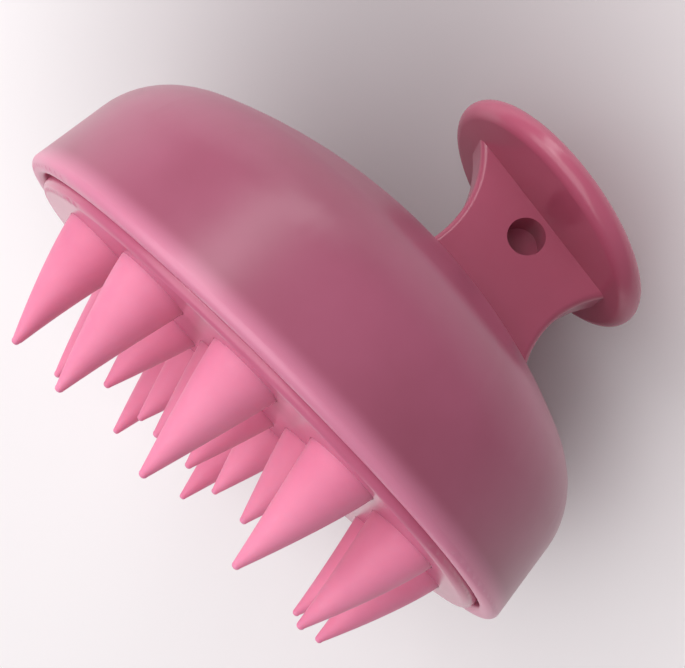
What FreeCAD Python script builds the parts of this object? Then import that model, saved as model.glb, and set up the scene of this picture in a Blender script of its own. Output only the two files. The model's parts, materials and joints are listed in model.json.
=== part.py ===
import FreeCAD, Part
import math
import os

from FreeCAD import Placement, Rotation, Vector

# Scalp massager brush, in millimetres. It stands on its bristle tips: the origin is on the
# floor below the middle of the dome, +Z points up to the knob, and +X is the side that the
# handle stands towards.

# Heights above the floor
PLATE_FACE_Z = 16.0
RIM_Z = 17.0
PLATE_TOP_Z = 18.4
LEDGE_Z = 18.6
CROWN_Z = 47.2
HANG_HOLE_Z = 57.8
KNOB_Z = 63.2

# Dome shell
RIM_R = 42.0
RIM_BORE_R = 39.5
WALL = 2.5
WALL_TOP_R = 41.0
CROWN_SPHERE_R = 71.0
SHOULDER_R = 12.5
RIM_OUTER_ROUND = 1.2
RIM_INNER_ROUND = 0.9
LEDGE_R = 37.6
LEDGE_HEIGHT = 1.6

# Handle: foot, neck and knob. The neck is a slab with a hollow finger grip on each side.
NECK_HALF_DEPTH = 4.0
NECK_EDGE_ROUND = 1.0
HIGH_GRIP_X = -13.35
HIGH_GRIP_Z = 52.0
HIGH_GRIP_R = 15.6
LOW_GRIP_X = 34.9
LOW_GRIP_Z = 51.0
LOW_GRIP_R = 13.5
FOOT_LIP = 0.9
KNOB_X = 10.6
KNOB_R = 18.5
KNOB_EDGE_R = 1.8
KNOB_CROWN = 1.0
KNOB_TILT_DEG = 9.5
HANG_HOLE_X = 10.9
HANG_HOLE_R = 2.65
HANG_HOLE_DEPTH = 5.5

# Base plate
PLATE_R = 38.9
PLATE_EDGE_ROUND = 1.2
SKIRT_R = 37.4
SKIRT_WALL = 1.3
SKIRT_TOP_Z = 21.9
BEAD_R = 38.0
BEAD_Z = 20.3
BEAD_HEIGHT = 1.0
POST_R = 2.8
POST_TOP_Z = 20.3
POST_CIRCLE_R = 21.4
POST_COUNT = 3

# Silicone mat and bristles
MAT_R = 35.5
MAT_TOP_Z = 20.4
POST_CLEARANCE = 0.2
OUTER_RING_R = 29.7
OUTER_LEAN = 1.8
OUTER_COUNT = 12
OUTER_PHASE_DEG = 0.0
OUTER_ROOT_R = 4.8
OUTER_TIP_Z = 0.0
INNER_RING_R = 15.0
INNER_COUNT = 6
INNER_PHASE_DEG = -15.0
INNER_ROOT_R = 4.3
INNER_TIP_Z = 4.0
TIP_R = 0.55
BRISTLE_SWELL = 0.12
HOLE_CLEARANCE = 0.1

# Clamp plate and screws
CLAMP_R = 35.0
CLAMP_TOP_Z = 22.2
CLAMP_SCREW_R = 1.2
CLAMP_HEAD_R = 2.3
CLAMP_HEAD_HEIGHT = 1.6
CLAMP_SCREW_END_Z = 17.4
HANDLE_SCREW_R = 1.45
HANDLE_HEAD_R = 2.8
HANDLE_HEAD_HEIGHT = 1.9
HANDLE_SCREW_X = (6.8, 16.8)
HANDLE_SCREW_END_Z = 53.0
HANDLE_BOSS_R = 3.6
HANDLE_BOSS_Z = 41.2
HANDLE_BOSS_DEPTH = 1.2
SCREW_CLEARANCE = 0.15
DRIVE_WIDTH = 0.7
DRIVE_DEPTH = 0.9

AXIS_Z = Vector(0, 0, 1)
ORIGIN = Vector(0, 0, 0)


def point(r, z):
    """A point of a turned section, at radius r and height z."""
    return Vector(r, 0, z)


def line(a, b):
    return Part.LineSegment(a, b).toShape()


def arc(centre, radius, start_deg, end_deg):
    """An arc in the XZ plane, by its angles from +X towards +Z."""

    def at(deg):
        a = math.radians(deg)
        return centre + Vector(radius * math.cos(a), 0, radius * math.sin(a))

    return Part.Arc(at(start_deg), at((start_deg + end_deg) / 2), at(end_deg)).toShape()


def turned(edges):
    """The solid that a closed section in the XZ plane sweeps round the Z axis."""
    face = Part.Face(Part.Wire(Part.__sortEdges__(edges)))
    return face.revolve(ORIGIN, AXIS_Z, 360)


def chain(*points):
    return [line(a, b) for a, b in zip(points, points[1:])]


def cylinder(radius, low, high, x=0.0, y=0.0):
    return Part.makeCylinder(radius, high - low, Vector(x, y, low), AXIS_Z)


def on_circle(radius, deg):
    """The place at an angle from the front, -Y, turning towards +X."""
    a = math.radians(deg)
    return radius * math.sin(a), -radius * math.cos(a)


def crown_height(r):
    return CROWN_Z - CROWN_SPHERE_R + math.sqrt(CROWN_SPHERE_R**2 - r**2)


def outer_ring():
    step = 360.0 / OUTER_COUNT
    return [on_circle(OUTER_RING_R, OUTER_PHASE_DEG + k * step) for k in range(OUTER_COUNT)]


def inner_ring():
    step = 360.0 / INNER_COUNT
    return [on_circle(INNER_RING_R, INNER_PHASE_DEG + k * step) for k in range(INNER_COUNT)]


def posts():
    """The clamp screws stand halfway between inner bristles."""
    first = INNER_PHASE_DEG + 180.0 / INNER_COUNT
    step = 360.0 / POST_COUNT
    return [on_circle(POST_CIRCLE_R, first + k * step) for k in range(POST_COUNT)]


# The shoulder is a round that meets the crown's sphere and the drafted wall smoothly.
SPHERE_CENTRE_Z = CROWN_Z - CROWN_SPHERE_R
SHOULDER_X = WALL_TOP_R - SHOULDER_R
SHOULDER_Z = SPHERE_CENTRE_Z + math.sqrt((CROWN_SPHERE_R - SHOULDER_R) ** 2 - SHOULDER_X**2)
CROWN_ANGLE = math.degrees(math.atan2(SHOULDER_Z - SPHERE_CENTRE_Z, SHOULDER_X))
WALL_FOOT = point(RIM_R, RIM_Z + RIM_OUTER_ROUND)


def wall_angle():
    """The angle on the shoulder round at which the straight wall leaves it."""
    span = WALL_FOOT - point(SHOULDER_X, SHOULDER_Z)
    return math.degrees(math.atan2(span.z, span.x) + math.acos(SHOULDER_R / span.Length))


def dome_shell():
    shoulder = point(SHOULDER_X, SHOULDER_Z)
    sphere = point(0, SPHERE_CENTRE_Z)
    start = wall_angle()
    outer = arc(shoulder, SHOULDER_R, start, CROWN_ANGLE)
    inner = arc(shoulder, SHOULDER_R - WALL, start, CROWN_ANGLE)
    rim_corner = point(RIM_R - RIM_OUTER_ROUND, RIM_Z + RIM_OUTER_ROUND)
    bore_corner = point(RIM_BORE_R + RIM_INNER_ROUND, RIM_Z + RIM_INNER_ROUND)
    ledge_top = LEDGE_Z + LEDGE_HEIGHT
    edges = [
        arc(bore_corner, RIM_INNER_ROUND, 180, 270),
        line(point(bore_corner.x, RIM_Z), point(rim_corner.x, RIM_Z)),
        arc(rim_corner, RIM_OUTER_ROUND, 270, 360),
        line(WALL_FOOT, outer.firstVertex().Point),
        outer,
        arc(sphere, CROWN_SPHERE_R, CROWN_ANGLE, 90),
        line(point(0, CROWN_Z), point(0, CROWN_Z - WALL)),
        arc(sphere, CROWN_SPHERE_R - WALL, CROWN_ANGLE, 90),
        inner,
    ]
    edges += chain(
        inner.firstVertex().Point,
        point(RIM_BORE_R, ledge_top),
        point(LEDGE_R, ledge_top),
        point(LEDGE_R, LEDGE_Z),
        point(RIM_BORE_R, LEDGE_Z),
        point(RIM_BORE_R, bore_corner.z),
    )
    shell = turned(edges)
    for x in HANDLE_SCREW_X:
        boss_top = crown_height(x) - HANDLE_BOSS_DEPTH
        shell = shell.fuse(cylinder(HANDLE_BOSS_R, HANDLE_BOSS_Z, boss_top, x))
    for x in HANDLE_SCREW_X:
        shell = shell.cut(cylinder(HANDLE_SCREW_R + SCREW_CLEARANCE, HANDLE_BOSS_Z - 1, CROWN_Z, x))
    return shell.removeSplitter()


def crown_ball(radius):
    """A ball about the centre of the crown's sphere, with its seam away from the handle."""
    centre = point(0, SPHERE_CENTRE_Z)
    ball = Part.makeSphere(radius, centre)
    ball.rotate(centre, AXIS_Z, 180)
    return ball


def grip_point(x, z, radius, height, side):
    """The point at a height on a grip's hollow, whose axis is at x and z."""
    return point(x + side * math.sqrt(radius**2 - (height - z) ** 2), height)


def neck_outline():
    """The front outline of the neck: two hollows, closed inside the crown and inside the knob."""
    low_z = crown_height(0) - 5.0
    tilt = math.tan(math.radians(KNOB_TILT_DEG))
    top = [KNOB_Z - 0.6 * KNOB_EDGE_R + tilt * 14.0, KNOB_Z - 0.6 * KNOB_EDGE_R - tilt * 14.0]
    grips = [(HIGH_GRIP_X, HIGH_GRIP_Z, HIGH_GRIP_R, 1), (LOW_GRIP_X, LOW_GRIP_Z, LOW_GRIP_R, -1)]
    corners = []
    edges = []
    for (x, z, radius, side), top_z in zip(grips, top):
        low = grip_point(x, z, radius, low_z, side)
        waist = point(x + side * radius, z)
        high = grip_point(x, z, radius, top_z, side)
        edges.append(Part.Arc(low, waist, high).toShape())
        corners.append((low, high))
    edges.append(line(corners[0][0], corners[1][0]))
    edges.append(line(corners[0][1], corners[1][1]))
    return Part.Wire(Part.__sortEdges__(edges))


def neck():
    slab = Part.Face(neck_outline()).extrude(Vector(0, 2 * NECK_HALF_DEPTH, 0))
    slab.translate(Vector(0, -NECK_HALF_DEPTH, 0))
    sides = [e for e in slab.Edges if isinstance(e.Curve, Part.Circle)]
    return slab.makeFillet(NECK_EDGE_ROUND, sides)


def foot_lip():
    """A thin lip round the foot that follows the crown."""
    low_x = grip_point(HIGH_GRIP_X, HIGH_GRIP_Z, HIGH_GRIP_R, CROWN_Z, 1).x - FOOT_LIP
    high_x = grip_point(LOW_GRIP_X, LOW_GRIP_Z, LOW_GRIP_R, crown_height(23.2), -1).x + FOOT_LIP
    half = NECK_HALF_DEPTH + FOOT_LIP
    block = Part.makeBox(high_x - low_x, 2 * half, 10, Vector(low_x, -half, CROWN_Z - 6))
    upright = [e for e in block.Edges if abs(e.Vertexes[0].Z - e.Vertexes[-1].Z) > 1]
    block = block.makeFillet(NECK_EDGE_ROUND + FOOT_LIP, upright)
    lip = block.common(crown_ball(CROWN_SPHERE_R + FOOT_LIP))
    top = max(lip.Faces, key=lambda f: f.CenterOfMass.z)
    return lip.makeFillet(FOOT_LIP * 0.7, top.Edges)


def knob():
    """A rounded disc with a slightly crowned top, turned about its own axis and then tilted."""
    flat = KNOB_R - KNOB_EDGE_R
    top = KNOB_EDGE_R + KNOB_CROWN
    top_r = (flat**2 + KNOB_CROWN**2) / (2 * KNOB_CROWN)
    top_deg = math.degrees(math.acos(flat / top_r))
    edges = [
        line(point(0, -KNOB_EDGE_R), point(flat, -KNOB_EDGE_R)),
        arc(point(flat, 0), KNOB_EDGE_R, -90, 90),
        arc(point(0, top - top_r), top_r, top_deg, 90),
        line(point(0, top), point(0, -KNOB_EDGE_R)),
    ]
    disc = turned(edges)
    disc.Placement = Placement(Vector(KNOB_X, 0, KNOB_Z), Rotation(Vector(0, 1, 0), KNOB_TILT_DEG))
    return disc


def handle():
    body = neck().fuse([foot_lip(), knob()])
    body = body.cut(crown_ball(CROWN_SPHERE_R)).removeSplitter()
    mouth = Vector(HANG_HOLE_X, -NECK_HALF_DEPTH, HANG_HOLE_Z)
    start = mouth - Vector(0, HANG_HOLE_DEPTH, 0)
    body = body.cut(Part.makeCylinder(HANG_HOLE_R, 2 * HANG_HOLE_DEPTH, start, Vector(0, 1, 0)))
    for x in HANDLE_SCREW_X:
        body = body.cut(cylinder(HANDLE_SCREW_R + 0.05, HANDLE_BOSS_Z, HANDLE_SCREW_END_Z + 0.5, x))
    return body


def base_plate():
    corner = point(PLATE_R - PLATE_EDGE_ROUND, PLATE_FACE_Z + PLATE_EDGE_ROUND)
    edges = [arc(corner, PLATE_EDGE_ROUND, 270, 360)]
    edges += chain(
        corner + Vector(PLATE_EDGE_ROUND, 0, 0),
        point(PLATE_R, PLATE_TOP_Z),
        point(SKIRT_R, PLATE_TOP_Z),
        point(SKIRT_R, BEAD_Z),
        point(BEAD_R, BEAD_Z + 0.2),
        point(SKIRT_R, BEAD_Z + BEAD_HEIGHT),
        point(SKIRT_R, SKIRT_TOP_Z),
        point(SKIRT_R - SKIRT_WALL, SKIRT_TOP_Z),
        point(SKIRT_R - SKIRT_WALL, PLATE_TOP_Z),
        point(0, PLATE_TOP_Z),
        point(0, PLATE_FACE_Z),
        corner - Vector(0, 0, PLATE_EDGE_ROUND),
    )
    plate = turned(edges)
    plate = plate.fuse([cylinder(POST_R, PLATE_TOP_Z - 0.5, POST_TOP_Z, x, y) for x, y in posts()])
    below, above = PLATE_FACE_Z - 1, PLATE_TOP_Z + 0.5
    holes = [cylinder(OUTER_ROOT_R + HOLE_CLEARANCE, below, above, x, y) for x, y in outer_ring()]
    holes += [cylinder(INNER_ROOT_R + HOLE_CLEARANCE, below, above, x, y) for x, y in inner_ring() + [(0, 0)]]
    pilot_low = CLAMP_SCREW_END_Z - 0.3
    holes += [cylinder(CLAMP_SCREW_R + 0.05, pilot_low, POST_TOP_Z + 1, x, y) for x, y in posts()]
    return plate.cut(holes).removeSplitter()


def bristle_mat():
    mat = cylinder(MAT_R, PLATE_TOP_Z, MAT_TOP_Z)
    hole_r = POST_R + POST_CLEARANCE
    return mat.cut([cylinder(hole_r, PLATE_TOP_Z - 1, MAT_TOP_Z + 1, x, y) for x, y in posts()])


def bristle(x, y, root_r, tip_z, lean=0.0):
    """A slightly swollen cone with a round tip, on a short stem that fills its hole in the plate.

    The tip stands nearer to the middle of the brush than the root, by the lean."""
    height = PLATE_FACE_Z - tip_z
    slant = math.degrees(math.atan2(root_r - TIP_R, height - TIP_R))
    touch = point(0, tip_z + TIP_R) + Vector(
        TIP_R * math.cos(math.radians(slant)), 0, -TIP_R * math.sin(math.radians(slant))
    )
    root = point(root_r, PLATE_FACE_Z)
    outward = Vector(math.cos(math.radians(slant)), 0, -math.sin(math.radians(slant)))
    side = Part.Arc(touch, (touch + root) / 2 + outward * BRISTLE_SWELL, root).toShape()
    edges = [arc(point(0, tip_z + TIP_R), TIP_R, -90, -slant), side]
    edges += chain(root, point(0, PLATE_FACE_Z), point(0, tip_z))
    cone = turned(edges)
    if lean:
        across = lean / height / math.hypot(x, y)
        slope = FreeCAD.Matrix()
        slope.A13, slope.A14 = across * x, -across * x * PLATE_FACE_Z
        slope.A23, slope.A24 = across * y, -across * y * PLATE_FACE_Z
        cone = cone.transformGeometry(slope)
    solid = cone.fuse(cylinder(root_r, PLATE_FACE_Z, PLATE_TOP_Z))
    solid.translate(Vector(x, y, 0))
    return solid


def clamp_plate():
    plate = cylinder(CLAMP_R, MAT_TOP_Z, CLAMP_TOP_Z)
    hole_r = CLAMP_SCREW_R + SCREW_CLEARANCE
    return plate.cut([cylinder(hole_r, MAT_TOP_Z - 1, CLAMP_TOP_Z + 1, x, y) for x, y in posts()])


def screw(x, y, shank_r, head_r, under_head_z, end_z, head_height):
    """A pan-head screw with a cross drive. It points up when end_z is above its head."""
    up = 1 if end_z > under_head_z else -1
    shank = cylinder(shank_r, min(under_head_z, end_z), max(under_head_z, end_z), x, y)
    far = under_head_z - up * head_height
    head = cylinder(head_r, min(under_head_z, far), max(under_head_z, far), x, y)
    rims = [e for e in head.Edges if isinstance(e.Curve, Part.Circle) and abs(e.Vertexes[0].Z - far) < 0.01]
    head = head.makeFillet(head_height * 0.4, rims)
    length = head_r * 1.2
    cross = []
    for wide, deep in ((length, DRIVE_WIDTH), (DRIVE_WIDTH, length)):
        corner = Vector(x - wide / 2, y - deep / 2, far - DRIVE_DEPTH)
        cross.append(Part.makeBox(wide, deep, 2 * DRIVE_DEPTH, corner))
    return shank.fuse(head).cut(cross).removeSplitter()


def clamp_screws():
    return Part.makeCompound([
        screw(x, y, CLAMP_SCREW_R, CLAMP_HEAD_R, CLAMP_TOP_Z, CLAMP_SCREW_END_Z, CLAMP_HEAD_HEIGHT)
        for x, y in posts()
    ])


def handle_screws():
    return Part.makeCompound([
        screw(x, 0, HANDLE_SCREW_R, HANDLE_HEAD_R, HANDLE_BOSS_Z, HANDLE_SCREW_END_Z, HANDLE_HEAD_HEIGHT)
        for x in HANDLE_SCREW_X
    ])


def all_parts():
    parts = {
        "dome_shell": dome_shell(),
        "handle": handle(),
        "base_plate": base_plate(),
        "bristle_mat": bristle_mat(),
        "clamp_plate": clamp_plate(),
        "clamp_screws": clamp_screws(),
        "handle_screws": handle_screws(),
        "centre_bristle": bristle(0, 0, INNER_ROOT_R, INNER_TIP_Z),
    }
    for k, (x, y) in enumerate(outer_ring(), 1):
        parts[f"outer_bristle_{k:02d}"] = bristle(x, y, OUTER_ROOT_R, OUTER_TIP_Z, OUTER_LEAN)
    for k, (x, y) in enumerate(inner_ring(), 1):
        parts[f"inner_bristle_{k}"] = bristle(x, y, INNER_ROOT_R, INNER_TIP_Z)
    return parts


os.makedirs("parts", exist_ok=True)
for name, shape in all_parts().items():
    box = shape.BoundBox
    print(name, shape.isValid(), len(shape.Solids), round(shape.Volume, 1), round(box.ZMin, 2))
    shape.exportStep(f"parts/{name}.step")
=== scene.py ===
import json
import math

import bpy
from mathutils import Matrix, Vector

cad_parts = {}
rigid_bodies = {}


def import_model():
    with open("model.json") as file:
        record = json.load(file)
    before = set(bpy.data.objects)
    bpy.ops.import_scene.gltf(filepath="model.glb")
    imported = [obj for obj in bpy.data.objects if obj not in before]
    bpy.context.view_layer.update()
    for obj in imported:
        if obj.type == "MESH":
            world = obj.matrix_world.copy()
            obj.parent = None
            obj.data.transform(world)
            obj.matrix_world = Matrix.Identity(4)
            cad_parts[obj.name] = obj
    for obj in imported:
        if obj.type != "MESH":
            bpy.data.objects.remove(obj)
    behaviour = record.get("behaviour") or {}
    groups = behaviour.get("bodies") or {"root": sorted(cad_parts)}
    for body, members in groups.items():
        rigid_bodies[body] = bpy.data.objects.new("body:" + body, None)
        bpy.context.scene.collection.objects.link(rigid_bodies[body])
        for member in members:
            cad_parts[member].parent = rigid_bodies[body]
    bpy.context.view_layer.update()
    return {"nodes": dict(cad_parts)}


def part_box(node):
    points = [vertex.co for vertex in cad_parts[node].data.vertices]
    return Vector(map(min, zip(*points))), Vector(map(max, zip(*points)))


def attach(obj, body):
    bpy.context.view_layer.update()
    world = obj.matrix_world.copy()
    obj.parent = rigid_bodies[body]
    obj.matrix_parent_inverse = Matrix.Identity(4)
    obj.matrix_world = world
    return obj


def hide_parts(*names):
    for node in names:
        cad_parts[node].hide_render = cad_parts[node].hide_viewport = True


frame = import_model()

BODY = "root"
MM = 0.001

# Camera: nearly level with the rim, rolled so that the brush leans to the lower left
CAMERA_PLACE = Vector((15.52, -155.46, 4.73)) * MM
CAMERA_YAW = math.radians(4.90)
CAMERA_PITCH = math.radians(9.68)
CAMERA_ROLL = math.radians(-44.85)
CAMERA_LENS = 61.493
CAMERA_SENSOR = 36.0
CAMERA_CLIP_START = 5 * MM

# The floor is a large sheet. The broad soft shade beyond the crown is painted in its colour
FLOOR_SIDE = 6.0
FLOOR_GAP = 0.2 * MM
SHADE_PLACE = Vector((-24.0, 16.0, 68.0)) * MM
SHADE_INNER = 5.0 * MM
SHADE_OUTER = 85.0 * MM

# Soft light: a broad panel below and before the brush, and a tall one at its upper left
WORLD_STRENGTH = 0.28
KEY_PLACE = (-0.26, -0.52, -0.42)
KEY_TARGET = (0, 0, 0.03)
KEY_SIZE = (1.0, 1.0)
KEY_POWER = 6.3
STRIP_PLACE = (-0.30, -0.43, 0.23)
STRIP_TARGET = (-0.009, -0.041, 0.025)
STRIP_SIZE = (0.16, 0.75)
STRIP_POWER = 1.4

# Mouldings: edges sharper than this stay crisp, and points nearer than this are one
SMOOTH_ANGLE = math.radians(28)
MERGE_DISTANCE = 0.001 * MM

# A highlight is painted into the shell's colour: it is paler below these heights above the rim
EDGE_HIGHLIGHT_LOW = 0.6 * MM
EDGE_HIGHLIGHT_HIGH = 3.6 * MM
EDGE_HIGHLIGHT_SHARE = 0.85

# Gloss of the mouldings, and how far it varies. A shell that ranged from 0.22 to 0.35 showed
# thin curved lines on its dome
SHELL_ROUGHNESS = 0.31
HANDLE_ROUGHNESS = 0.23
PLATE_ROUGHNESS = 0.22
GLOSS_LOW = 0.92
GLOSS_HIGH = 1.12

# Silicone bristles: the side swells a little outside a straight cone, and the outer ones
# lean, with their tips bent towards the middle of the brush
OUTER_ROOT_R = 4.8 * MM
INNER_ROOT_R = 4.3 * MM
OUTER_LEAN = 1.8 * MM
BRISTLE_BEND = 1.6
BRISTLE_SWELL = 1.08
BRISTLE_TIP_R = 0.55 * MM
BRISTLE_SIDES = 40
BRISTLE_RINGS = 14
TIP_RINGS = 5
TIP_STEP = math.radians(15)


def nodes_named(prefix):
    return sorted(name for name in frame["nodes"] if name.startswith(prefix))


def middle(node):
    low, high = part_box(node)
    return (Vector(low) + Vector(high)) / 2


# ---------------------------------------------------------------- modelling helpers

def deselect_all():
    for obj in bpy.context.selected_objects:
        obj.select_set(False)


def make_active(obj):
    deselect_all()
    obj.select_set(True)
    bpy.context.view_layer.objects.active = obj


def apply_modifier(obj, kind, **settings):
    make_active(obj)
    modifier = obj.modifiers.new(kind.title(), kind)
    for key, value in settings.items():
        setattr(modifier, key, value)
    bpy.ops.object.modifier_apply(modifier=modifier.name)


def copy_moulding(node, material):
    """A clean copy of a CAD moulding: its loose triangles are joined and shaded as smooth faces."""
    source = frame["nodes"][node]
    make_active(source)
    bpy.ops.object.duplicate()
    obj = bpy.context.object
    obj.name = node + "_moulding"
    bpy.ops.object.parent_clear(type="CLEAR_KEEP_TRANSFORM")
    bpy.ops.object.mode_set(mode="EDIT")
    bpy.ops.mesh.select_all(action="SELECT")
    bpy.ops.mesh.remove_doubles(threshold=MERGE_DISTANCE)
    bpy.ops.object.mode_set(mode="OBJECT")
    bpy.ops.mesh.customdata_custom_splitnormals_clear()
    bpy.ops.object.shade_smooth_by_angle(angle=SMOOTH_ANGLE)
    apply_modifier(obj, "WEIGHTED_NORMAL", keep_sharp=True)
    obj.data.materials.clear()
    obj.data.materials.append(material)
    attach(obj, BODY)
    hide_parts(node)


def settle(obj):
    """Puts the finished piece's place into its mesh, with its faces outward."""
    make_active(obj)
    bpy.ops.object.transform_apply(location=True, rotation=True, scale=True)
    bpy.ops.object.mode_set(mode="EDIT")
    bpy.ops.mesh.select_all(action="SELECT")
    bpy.ops.mesh.remove_doubles(threshold=MERGE_DISTANCE)
    bpy.ops.mesh.normals_make_consistent(inside=False)
    bpy.ops.object.mode_set(mode="OBJECT")


# ---------------------------------------------------------------- material helpers

def linear(red, green, blue):
    """A display colour of 0 to 255 as the renderer's own linear colour."""
    def channel(value):
        value = value / 255
        return value / 12.92 if value <= 0.04045 else ((value + 0.055) / 1.055) ** 2.4
    return (channel(red), channel(green), channel(blue), 1.0)


def new_material(name):
    material = bpy.data.materials.new(name)
    material.use_nodes = True
    return material, material.node_tree.nodes, material.node_tree.links


def set_inputs(node, **values):
    """Sets a node's own values. An underscore in a key stands for a space."""
    for key, value in values.items():
        node.inputs[key.replace("_", " ")].default_value = value


def noise(nodes, links, coordinates, scale, detail, roughness=0.5):
    texture = nodes.new("ShaderNodeTexNoise")
    set_inputs(texture, Scale=scale, Detail=detail, Roughness=roughness)
    links.new(coordinates, texture.inputs["Vector"])
    return texture.outputs["Fac"]


def remap(nodes, links, value, low, high, from_low, from_high):
    """Carries one range of values smoothly to another."""
    node = nodes.new("ShaderNodeMapRange")
    node.interpolation_type = "SMOOTHSTEP"
    set_inputs(node, From_Min=from_low, From_Max=from_high, To_Min=low, To_Max=high)
    links.new(value, node.inputs["Value"])
    return node.outputs["Result"]


def ramp(nodes, links, value, stops):
    node = nodes.new("ShaderNodeValToRGB")
    elements = node.color_ramp.elements
    while len(elements) < len(stops):
        elements.new(0.5)
    for element, (position, colour) in zip(elements, stops):
        element.position = position
        element.color = colour
    links.new(value, node.inputs["Fac"])
    return node.outputs["Color"]


def bump(nodes, links, height, strength, distance):
    node = nodes.new("ShaderNodeBump")
    set_inputs(node, Strength=strength, Distance=distance)
    links.new(height, node.inputs["Height"])
    return node.outputs["Normal"]


def object_coordinates(nodes):
    return nodes.new("ShaderNodeTexCoord").outputs["Object"]


# ---------------------------------------------------------------- materials

def paint_edge_highlight(nodes, links, place, colour, highlight_colour, low, high):
    """Paints a highlight into the colour: it is paler along the lower edge. The lights alone don't
    make this band.
    """
    parts = nodes.new("ShaderNodeSeparateXYZ")
    links.new(place, parts.inputs["Vector"])
    mix = nodes.new("ShaderNodeMix")
    mix.data_type = "RGBA"
    links.new(remap(nodes, links, parts.outputs["Z"], EDGE_HIGHLIGHT_SHARE, 0.0, low, high),
              mix.inputs["Factor"])
    links.new(colour, mix.inputs["A"])
    mix.inputs["B"].default_value = highlight_colour
    return mix.outputs["Result"]


def moulded_plastic(name, light, dark, roughness, rim_highlight=None):
    """Glossy moulded plastic: cloudy colour, fine flow ripple and slight depth."""
    material, nodes, links = new_material(name)
    shader = nodes["Principled BSDF"]
    place = object_coordinates(nodes)
    cloud = noise(nodes, links, place, 60.0, 4.0)
    colour = ramp(nodes, links, cloud, [(0.35, dark), (0.65, light)])
    # An optional highlight is painted into the colour along the lower edge
    if rim_highlight:
        colour = paint_edge_highlight(nodes, links, place, colour, *rim_highlight)
    links.new(colour, shader.inputs["Base Color"])
    smear = noise(nodes, links, place, 40.0, 1.5)
    links.new(remap(nodes, links, smear, roughness * GLOSS_LOW, roughness * GLOSS_HIGH, 0.3, 0.7),
              shader.inputs["Roughness"])
    ripple = noise(nodes, links, place, 25.0, 2.0)
    links.new(bump(nodes, links, ripple, 0.06, 0.3 * MM), shader.inputs["Normal"])
    set_inputs(shader, IOR=1.49, Subsurface_Weight=0.12, Subsurface_Scale=2.0 * MM)
    shader.inputs["Subsurface Radius"].default_value = (1.0, 0.45, 0.55)
    return material


def soft_silicone():
    """Satin silicone: light passes a little way in, and the surface has a fine haze."""
    material, nodes, links = new_material("soft_silicone")
    shader = nodes["Principled BSDF"]
    place = object_coordinates(nodes)
    cloud = noise(nodes, links, place, 90.0, 4.0)
    light, dark = linear(240, 145, 177), linear(230, 130, 164)
    links.new(ramp(nodes, links, cloud, [(0.3, dark), (0.7, light)]), shader.inputs["Base Color"])
    haze = noise(nodes, links, place, 700.0, 5.0, 0.6)
    links.new(remap(nodes, links, haze, 0.50, 0.66, 0.3, 0.7), shader.inputs["Roughness"])
    links.new(bump(nodes, links, haze, 0.10, 0.05 * MM), shader.inputs["Normal"])
    set_inputs(shader, IOR=1.41, Subsurface_Weight=0.35, Subsurface_Scale=2.5 * MM,
               Sheen_Weight=0.08)
    shader.inputs["Subsurface Radius"].default_value = (1.0, 0.35, 0.45)
    return material


def plain_plastic(name, colour):
    """Matte moulded plastic with a fine grain, for the hidden clamp plate."""
    material, nodes, links = new_material(name)
    shader = nodes["Principled BSDF"]
    place = object_coordinates(nodes)
    grain = noise(nodes, links, place, 900.0, 4.0)
    shade = tuple(c * 0.86 for c in colour[:3]) + (1.0,)
    links.new(ramp(nodes, links, grain, [(0.3, shade), (0.7, colour)]), shader.inputs["Base Color"])
    links.new(remap(nodes, links, grain, 0.45, 0.6, 0.3, 0.7), shader.inputs["Roughness"])
    links.new(bump(nodes, links, grain, 0.15, 0.05 * MM), shader.inputs["Normal"])
    return material


def screw_steel():
    """Bright steel with fine scratches."""
    material, nodes, links = new_material("screw_steel")
    shader = nodes["Principled BSDF"]
    place = object_coordinates(nodes)
    scratch = noise(nodes, links, place, 1600.0, 4.0)
    light, dark = linear(196, 198, 202), linear(150, 152, 156)
    links.new(ramp(nodes, links, scratch, [(0.3, dark), (0.7, light)]), shader.inputs["Base Color"])
    links.new(remap(nodes, links, scratch, 0.2, 0.38, 0.3, 0.7), shader.inputs["Roughness"])
    set_inputs(shader, Metallic=1.0)
    return material


def pale_floor():
    """Pale paper, with a broad soft shade painted into its colour near the shade's place. It is
    clear from behind, so that the brush is seen from every side.
    """
    material, nodes, links = new_material("pale_floor")
    shader = nodes["Principled BSDF"]
    place = object_coordinates(nodes)
    away = nodes.new("ShaderNodeVectorMath")
    away.operation = "DISTANCE"
    away.inputs[1].default_value = SHADE_PLACE
    links.new(place, away.inputs[0])
    # Painted shade: the floor's colour darkens towards SHADE_PLACE
    fade = remap(nodes, links, away.outputs["Value"], 0.0, 1.0, SHADE_INNER, SHADE_OUTER)
    light, shade = linear(246, 242, 243), linear(186, 180, 182)
    links.new(ramp(nodes, links, fade, [(0.0, shade), (1.0, light)]), shader.inputs["Base Color"])
    set_inputs(shader, Roughness=0.75)
    clear = nodes.new("ShaderNodeBsdfTransparent")
    mix = nodes.new("ShaderNodeMixShader")
    links.new(nodes.new("ShaderNodeNewGeometry").outputs["Backfacing"], mix.inputs["Fac"])
    links.new(shader.outputs["BSDF"], mix.inputs[1])
    links.new(clear.outputs["BSDF"], mix.inputs[2])
    links.new(mix.outputs["Shader"], nodes["Material Output"].inputs["Surface"])
    return material


def paint(node, material):
    """Gives a CAD node its material."""
    mesh = frame["nodes"][node].data
    mesh.materials.clear()
    mesh.materials.append(material)


# ---------------------------------------------------------------- bristles

def pull_ring(place, goal, radius, goal_r):
    """Pulls the selected end out to a new ring, with its own middle and radius."""
    bpy.ops.mesh.extrude_region_move(TRANSFORM_OT_translate={"value": goal - place})
    bpy.ops.transform.resize(value=(goal_r / radius, goal_r / radius, 1), center_override=goal)


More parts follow.
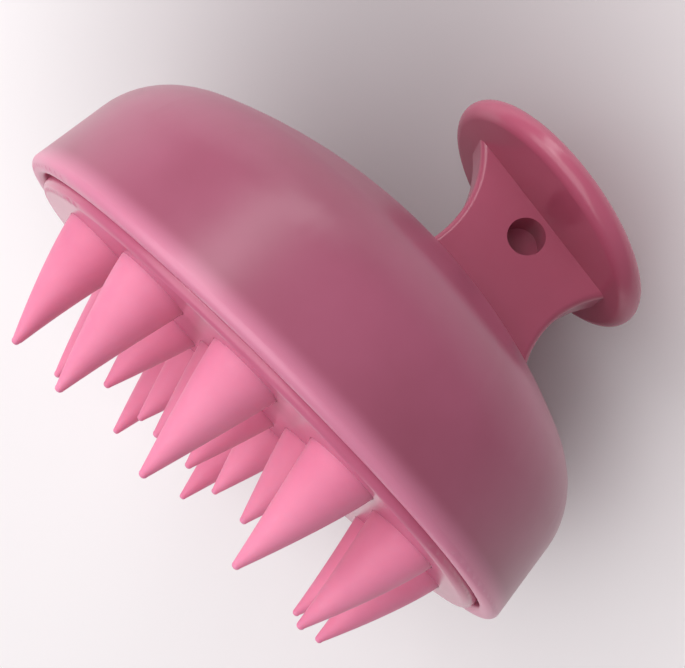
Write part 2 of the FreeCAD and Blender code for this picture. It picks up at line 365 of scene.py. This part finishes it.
def model_bristle(node, root_r, tip_lean):
    """One soft cone with a round tip, on its stem. The tip stands beside the root by the lean."""
    low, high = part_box(node)
    root = middle(node)
    root.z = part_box("base_plate")[0][2]
    cone_length = root.z - low[2] - BRISTLE_TIP_R
    deselect_all()
    bpy.ops.mesh.primitive_circle_add(vertices=BRISTLE_SIDES, radius=root_r, fill_type="NGON",
                                      location=(root.x, root.y, high[2]))
    obj = bpy.context.object
    obj.name = node + "_silicone"
    bpy.ops.object.mode_set(mode="EDIT")
    bpy.ops.mesh.select_all(action="SELECT")
    bpy.ops.mesh.extrude_region_move(TRANSFORM_OT_translate={"value": (0, 0, root.z - high[2])})
    radius, place = root_r, root.copy()
    for ring in range(1, BRISTLE_RINGS + 1):
        part = ring / BRISTLE_RINGS
        goal_r = root_r + (BRISTLE_TIP_R - root_r) * part**BRISTLE_SWELL
        goal = root + tip_lean * part**BRISTLE_BEND - Vector((0, 0, cone_length * part))
        pull_ring(place, goal, radius, goal_r)
        radius, place = goal_r, goal
    tip_z = place.z
    for ring in range(1, TIP_RINGS + 1):
        goal_r = BRISTLE_TIP_R * math.cos(TIP_STEP * ring)
        goal = Vector((place.x, place.y, tip_z - BRISTLE_TIP_R * math.sin(TIP_STEP * ring)))
        pull_ring(place, goal, radius, goal_r)
        radius, place = goal_r, goal
    bpy.ops.mesh.merge(type="CENTER")
    bpy.ops.object.mode_set(mode="OBJECT")
    settle(obj)
    bpy.ops.object.shade_smooth()
    return obj


def copy_bristle(pattern, node, turn=0.0, move=(0, 0, 0)):
    """A copy with its own mesh, turned round the brush's axis or moved to its place."""
    make_active(pattern)
    bpy.ops.object.duplicate()
    obj = bpy.context.object
    obj.name = node + "_silicone"
    obj.rotation_euler.z = turn
    obj.location = move
    bpy.ops.object.transform_apply(location=True, rotation=True, scale=True)
    return obj


def add_bristles(material):
    """One outer and one inner bristle are modelled, and the others are their copies."""
    outer, inner = nodes_named("outer_bristle"), nodes_named("inner_bristle")
    first, core = middle(outer[0]), middle("centre_bristle")
    inward = Vector((-first.x, -first.y, 0)).normalized()
    pieces = {outer[0]: model_bristle(outer[0], OUTER_ROOT_R, inward * OUTER_LEAN),
              "centre_bristle": model_bristle("centre_bristle", INNER_ROOT_R, Vector((0, 0, 0)))}
    for node in outer[1:]:
        place = middle(node)
        turn = math.atan2(place.y, place.x) - math.atan2(first.y, first.x)
        pieces[node] = copy_bristle(pieces[outer[0]], node, turn=turn)
    for node in inner:
        pieces[node] = copy_bristle(pieces["centre_bristle"], node, move=middle(node) - core)
    for node, bristle in pieces.items():
        bristle.data.materials.append(material)
        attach(bristle, BODY)
        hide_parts(node)


# ---------------------------------------------------------------- stage

def reach(node, outward):
    """How far the node's surface reaches in a direction."""
    return max(outward.dot(vertex.co) for vertex in frame["nodes"][node].data.vertices)


def resting_lean():
    """The floor's lean from upright, at which the dome's shoulder and the knob both touch it."""
    low_lean, high_lean = 0.0, math.radians(80)
    for _ in range(30):
        lean = (low_lean + high_lean) / 2
        outward = Vector((0, math.cos(lean), math.sin(lean)))
        if reach("dome_shell", outward) > reach("handle", outward):
            low_lean = lean
        else:
            high_lean = lean
    return lean, outward


def add_floor(material):
    """The floor that the brush lies on, on its side."""
    lean, outward = resting_lean()
    deselect_all()
    bpy.ops.mesh.primitive_plane_add(size=FLOOR_SIDE,
                                     location=outward * (reach("dome_shell", outward) + FLOOR_GAP),
                                     rotation=(math.radians(90) + lean, 0, 0))
    floor = bpy.context.object
    floor.name = "floor"
    bpy.ops.object.transform_apply(location=True, rotation=True, scale=True)
    floor.data.materials.append(material)


def add_light(name, place, target, size, power):
    data = bpy.data.lights.new(name, "AREA")
    data.shape = "RECTANGLE"
    data.size, data.size_y = size
    data.energy = power
    light = bpy.data.objects.new(name, data)
    bpy.context.scene.collection.objects.link(light)
    light.location = place
    light.rotation_euler = (Vector(target) - Vector(place)).to_track_quat("-Z", "Y").to_euler()


def add_world(strength):
    world = bpy.data.worlds.new("studio")
    world.use_nodes = True
    background = world.node_tree.nodes["Background"]
    background.inputs["Color"].default_value = linear(240, 234, 237)
    background.inputs["Strength"].default_value = strength
    bpy.context.scene.world = world


def add_camera():
    data = bpy.data.cameras.new("camera")
    data.lens = CAMERA_LENS
    data.sensor_width = CAMERA_SENSOR
    data.clip_start = CAMERA_CLIP_START
    camera = bpy.data.objects.new("camera", data)
    bpy.context.scene.collection.objects.link(camera)
    upright = Matrix.Rotation(math.radians(90), 4, "X")
    turn = (Matrix.Rotation(CAMERA_YAW, 4, "Z") @ Matrix.Rotation(CAMERA_PITCH, 4, "X")
            @ Matrix.Rotation(CAMERA_ROLL, 4, "Y") @ upright)
    camera.matrix_world = Matrix.Translation(CAMERA_PLACE) @ turn
    bpy.context.scene.camera = camera


# ---------------------------------------------------------------- the brush

rim_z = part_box("dome_shell")[0][2]
# The paler band along the shell's rim is a painted highlight
painted_edge_highlight = (linear(222, 138, 168), rim_z + EDGE_HIGHLIGHT_LOW, rim_z + EDGE_HIGHLIGHT_HIGH)
shell_plastic = moulded_plastic("shell_plastic", linear(166, 88, 114), linear(157, 81, 105),
                                SHELL_ROUGHNESS, rim_highlight=painted_edge_highlight)
handle_plastic = moulded_plastic("handle_plastic", linear(186, 94, 120), linear(178, 87, 112),
                                 HANDLE_ROUGHNESS)
plate_plastic = moulded_plastic("plate_plastic", linear(202, 106, 138), linear(194, 98, 130),
                                PLATE_ROUGHNESS)
silicone = soft_silicone()
steel = screw_steel()

copy_moulding("dome_shell", shell_plastic)
copy_moulding("handle", handle_plastic)
copy_moulding("base_plate", plate_plastic)
paint("bristle_mat", silicone)
paint("clamp_plate", plain_plastic("clamp_plastic", linear(238, 232, 234)))
paint("clamp_screws", steel)
paint("handle_screws", steel)
add_bristles(silicone)

add_floor(pale_floor())
add_world(WORLD_STRENGTH)
add_light("low_key", KEY_PLACE, KEY_TARGET, KEY_SIZE, KEY_POWER)
add_light("side_strip", STRIP_PLACE, STRIP_TARGET, STRIP_SIZE, STRIP_POWER)
add_camera()

bpy.context.scene.view_settings.view_transform = "Standard"
